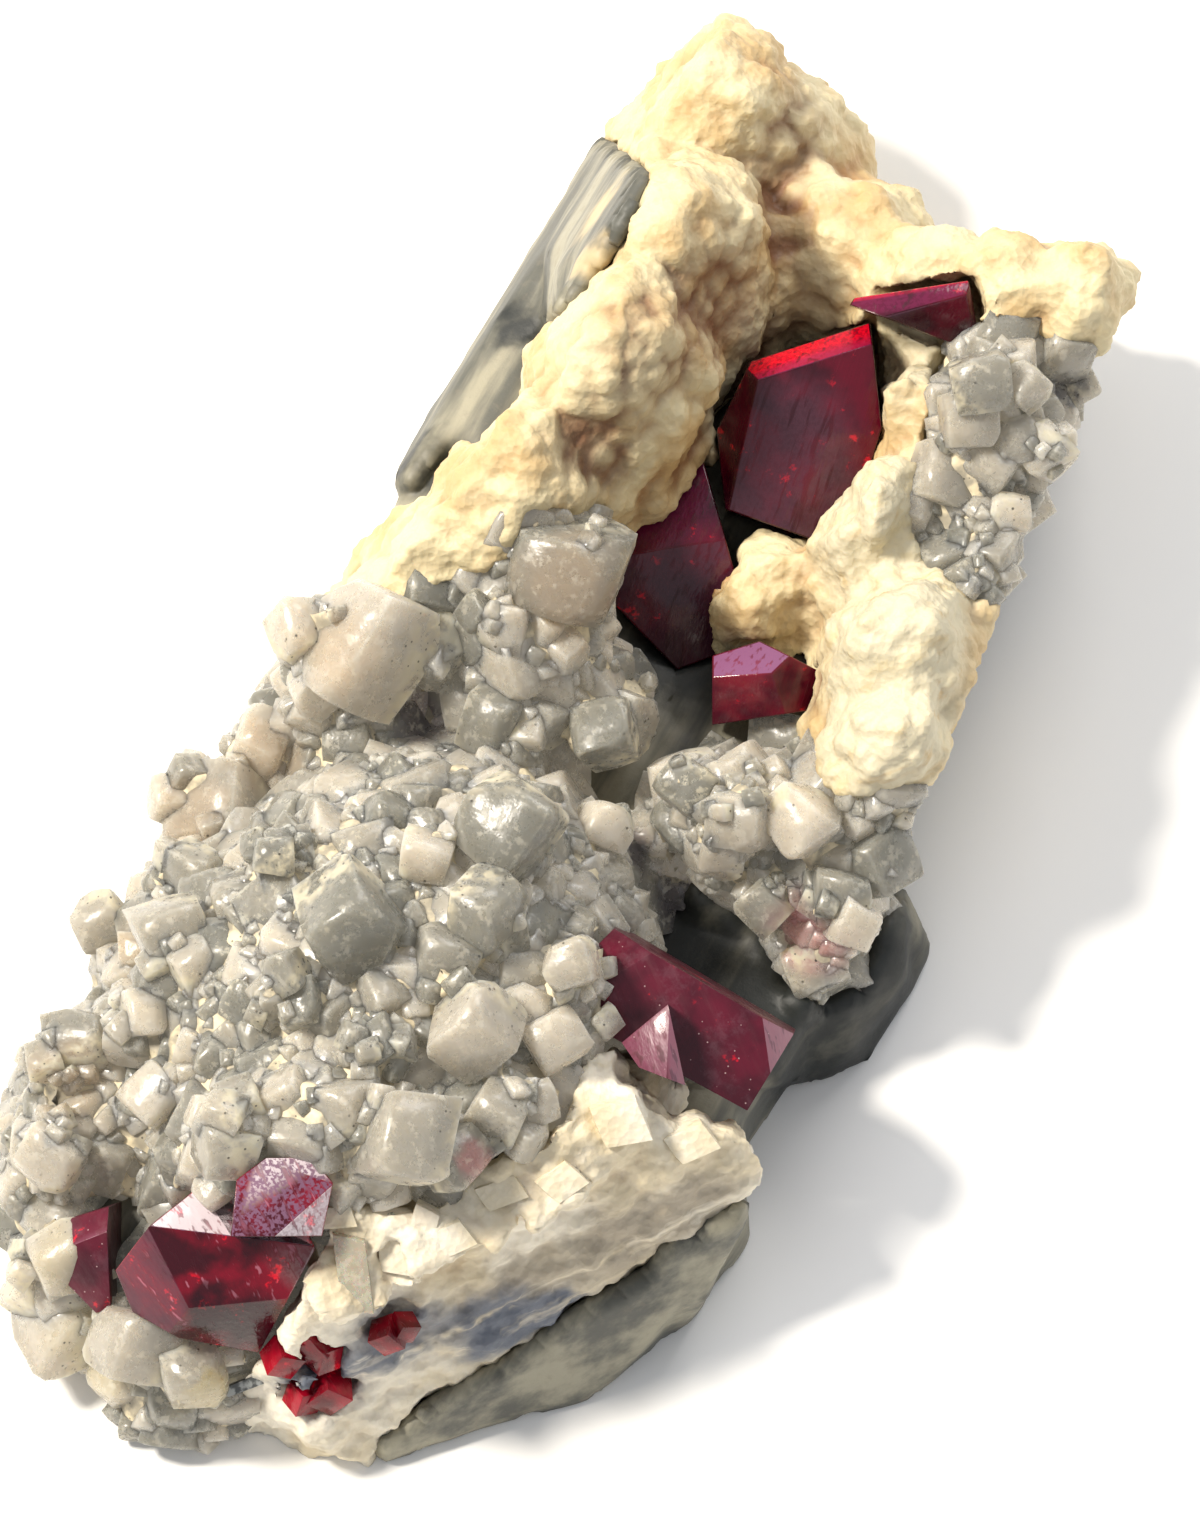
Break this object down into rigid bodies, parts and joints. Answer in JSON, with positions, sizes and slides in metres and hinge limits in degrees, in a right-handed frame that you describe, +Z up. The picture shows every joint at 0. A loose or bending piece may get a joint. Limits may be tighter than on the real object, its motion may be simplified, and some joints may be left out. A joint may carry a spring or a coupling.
{
  "type": "cinnabar on dolomite mineral specimen",
  "caption": "Small elongated mineral specimen: deep red faceted cinnabar crystals set in lumpy cream dolomite and a crust of grey quartz, on grey host rock with a flat base",
  "frame": {"origin": "middle of the bounding box in plan, on the flat base the specimen lies on", "axes": "+Z up out of the flat base, +Y along the specimen's length towards the dolomite ridge's head, +X across it; the great crystal is at the -Y end"},
  "size_m": [0.0306, 0.0642, 0.0188],
  "materials": {
    "host_rock": "matt, streaked grey broken rock",
    "dolomite": "sugary, lumpy, cream to tan",
    "quartz": "glassy translucent grey crystals, dusted in the creases",
    "cinnabar": "bright, adamantine, deep red, striated"
  },
  "bodies": {
    "root": {"host_rock": "host_rock", "dolomite_upper": "dolomite", "dolomite_ledge": "dolomite", "quartz_mound": "quartz", "quartz_slope": "quartz", "quartz_pocket": "quartz", "quartz_foot": "quartz", "cinnabar_great": "cinnabar", "cinnabar_west": "cinnabar", "cinnabar_twin": "cinnabar", "cinnabar_hollow": "cinnabar", "cinnabar_shade": "cinnabar", "cinnabar_sill": "cinnabar", "cinnabar_shoulder": "cinnabar", "cinnabar_grain_upper": "cinnabar", "cinnabar_grain_lower": "cinnabar", "cinnabar_grain_east": "cinnabar"}
  },
  "joints": []
}
